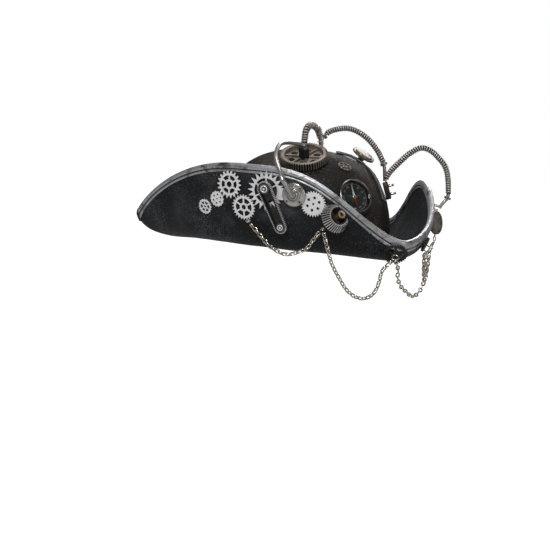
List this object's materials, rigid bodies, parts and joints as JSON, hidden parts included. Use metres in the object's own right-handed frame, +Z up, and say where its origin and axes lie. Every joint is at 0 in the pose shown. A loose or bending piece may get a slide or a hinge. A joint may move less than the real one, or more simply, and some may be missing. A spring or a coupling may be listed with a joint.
{
  "type": "pirate hat",
  "caption": "Three-cornered pirate hat with turned-up flaps and clockwork dressing: gears, a belt drive, sprung hoses, a compass with a turning needle, and hanging chains.",
  "frame": {"origin": "middle of the head opening, in the plane of its lower edge", "axes": "+Z up through the crown, -Y to the front, -X to the wearer's right"},
  "size_m": [0.3205, 0.3192, 0.175],
  "materials": {
    "crown_cloth": "matte",
    "lining": "matte",
    "sweatband": "satin",
    "brim_cloth": "satin, speckled",
    "trim": "worn silver",
    "dark_binding": "matte",
    "zip_cloth": "matte",
    "zip_metal": "aged",
    "bronze": "aged bronze",
    "black_metal": "matte",
    "pipe_silver": "worn silver",
    "pewter": "worn pewter",
    "screw_dark": "dark",
    "stamped_silver": "brushed",
    "belt_grey": "worn",
    "cup_brown": "matte",
    "brass_brown": "aged",
    "dial_black": "matte",
    "needle_white": "satin",
    "clear_cap": "clear",
    "hose_tube": "dull",
    "spring_metal": "aged",
    "block_brown": "matte",
    "chain_silver": "bright"
  },
  "bodies": {
    "hat": {"crown_shell": "crown_cloth", "crown_lining": "lining", "sweatband": "sweatband", "brim_shell": "brim_cloth", "brim_trim": "trim", "corner_wrap_right": "dark_binding", "corner_wrap_left": "dark_binding", "zip_tape": "zip_cloth", "zip_teeth": "zip_metal", "big_gear": "bronze", "big_gear_hub": "black_metal", "bent_pipe": "pipe_silver", "flange_plate": "pewter", "flange_collar": "pewter", "flange_screws": "screw_dark", "ring_gear": "stamped_silver", "button_gear": "stamped_silver", "upper_gear": "stamped_silver", "lower_gear": "stamped_silver", "spike_gear": "stamped_silver", "pierced_gear": "stamped_silver", "drive_plate": "black_metal", "drive_belt": "belt_grey", "upper_pulley": "belt_grey", "lower_pulley": "belt_grey", "pulley_pins": "stamped_silver", "deep_cog": "belt_grey", "deep_cog_cup": "cup_brown", "deep_cog_horn": "brass_brown", "compass_case": "pewter", "compass_bezel": "pewter", "compass_dial": "dial_black", "compass_pivot": "brass_brown", "compass_glass": "clear_cap", "crown_gear": "bronze", "crown_disc": "bronze", "crown_bar": "pipe_silver", "short_hose": "hose_tube", "short_hose_spring": "spring_metal", "crown_hose": "hose_tube", "crown_hose_spring": "spring_metal", "flap_hose": "hose_tube", "flap_hose_spring": "spring_metal", "hose_ferrules": "pipe_silver", "hose_block": "block_brown", "hose_block_prongs": "pewter", "left_disc": "bronze", "left_disc_post": "black_metal", "left_prongs": "pewter", "under_gear": "black_metal", "dark_gear": "black_metal", "chain_eyes": "chain_silver"},
    "needle": {"compass_needle": "needle_white"},
    "swag_right": {"chain_right": "chain_silver"},
    "swag_brow": {"chain_brow": "chain_silver"},
    "swag_front": {"chain_front": "chain_silver"},
    "swag_left": {"chain_left": "chain_silver"}
  },
  "joints": [
    {"name": "needle_spin", "type": "hinge", "parent": "hat", "child": "needle", "pos_m": [-0.00728, -0.09676, 0.05629], "axis": [-0.0969, -0.9071, 0.4096], "continuous": true},
    {"name": "right_chain_swing", "type": "hinge", "parent": "hat", "child": "swag_right", "pos_m": [-0.1133, -0.0652, 0.0264], "axis": [0.5693, -0.8221, -0.0088], "range_deg": [-45, 15]},
    {"name": "brow_chain_swing", "type": "hinge", "parent": "hat", "child": "swag_brow", "pos_m": [-0.0678, -0.1309, 0.0257], "axis": [0.7525, -0.5914, -0.2899], "range_deg": [-45, 10]},
    {"name": "front_chain_swing", "type": "hinge", "parent": "hat", "child": "swag_front", "pos_m": [-0.0094, -0.1768, 0.0032], "axis": [0.9482, 0.2785, 0.1529], "range_deg": [-45, 10]},
    {"name": "left_chain_swing", "type": "hinge", "parent": "hat", "child": "swag_left", "pos_m": [0.1084, -0.0939, 0.0164], "axis": [-0.738, -0.6583, -0.1482], "range_deg": [-45, 30]}
  ]
}
